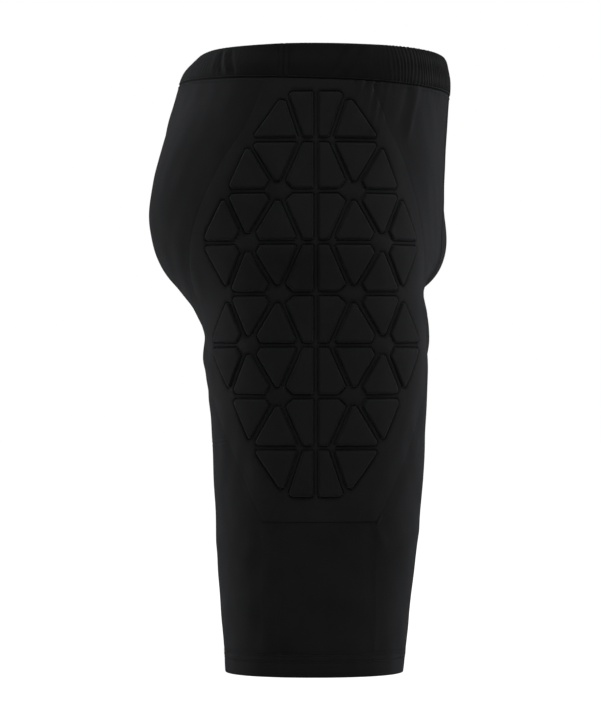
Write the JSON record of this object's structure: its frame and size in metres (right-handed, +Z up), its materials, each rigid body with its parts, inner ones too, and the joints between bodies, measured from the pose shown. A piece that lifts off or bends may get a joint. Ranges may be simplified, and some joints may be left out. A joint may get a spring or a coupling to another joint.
{
  "type": "padded impact shorts",
  "caption": "Long compression shorts with a shield-shaped quilted foam pad over each hip and outer thigh, worn under snow-sport trousers to soften falls.",
  "frame": {"origin": "on the floor under the middle of the shorts, level with the foot of the leg hems", "axes": "+Z up from the hems to the waistband, -Y towards the wearer's front, -X towards the wearer's right"},
  "size_m": [0.3534, 0.2499, 0.5129],
  "materials": {
    "stretch_knit": "matt black polyamide-elastane knit",
    "pad_knit": "matt black stretch knit over foam tiles",
    "waistband_knit": "black knit gathered over elastic",
    "elastic_webbing": "woven black elastic",
    "inner_mesh": "black open knit",
    "impact_foam": "closed-cell foam"
  },
  "bodies": {
    "root": {"waistband_front": "waistband_knit", "waistband_back": "waistband_knit", "waist_elastic": "elastic_webbing", "pouch_panel": "stretch_knit", "pouch_lining": "inner_mesh", "crotch_gusset": "stretch_knit", "side_pad_panel_right": "pad_knit", "side_pad_panel_left": "pad_knit", "pad_backing_right": "inner_mesh", "pad_backing_left": "inner_mesh", "front_panel_right": "stretch_knit", "front_panel_left": "stretch_knit", "seat_panel_right": "stretch_knit", "seat_panel_left": "stretch_knit", "back_leg_panel_right": "stretch_knit", "back_leg_panel_left": "stretch_knit", "hem_right": "stretch_knit", "hem_left": "stretch_knit", "foam_row_1_right": "impact_foam", "foam_row_1_left": "impact_foam", "foam_row_2_right": "impact_foam", "foam_row_2_left": "impact_foam", "foam_row_3_right": "impact_foam", "foam_row_3_left": "impact_foam", "foam_row_4_right": "impact_foam", "foam_row_4_left": "impact_foam", "foam_row_5_right": "impact_foam", "foam_row_5_left": "impact_foam", "foam_row_6_right": "impact_foam", "foam_row_6_left": "impact_foam", "foam_row_7_right": "impact_foam", "foam_row_7_left": "impact_foam", "foam_row_8_right": "impact_foam", "foam_row_8_left": "impact_foam"}
  },
  "joints": []
}
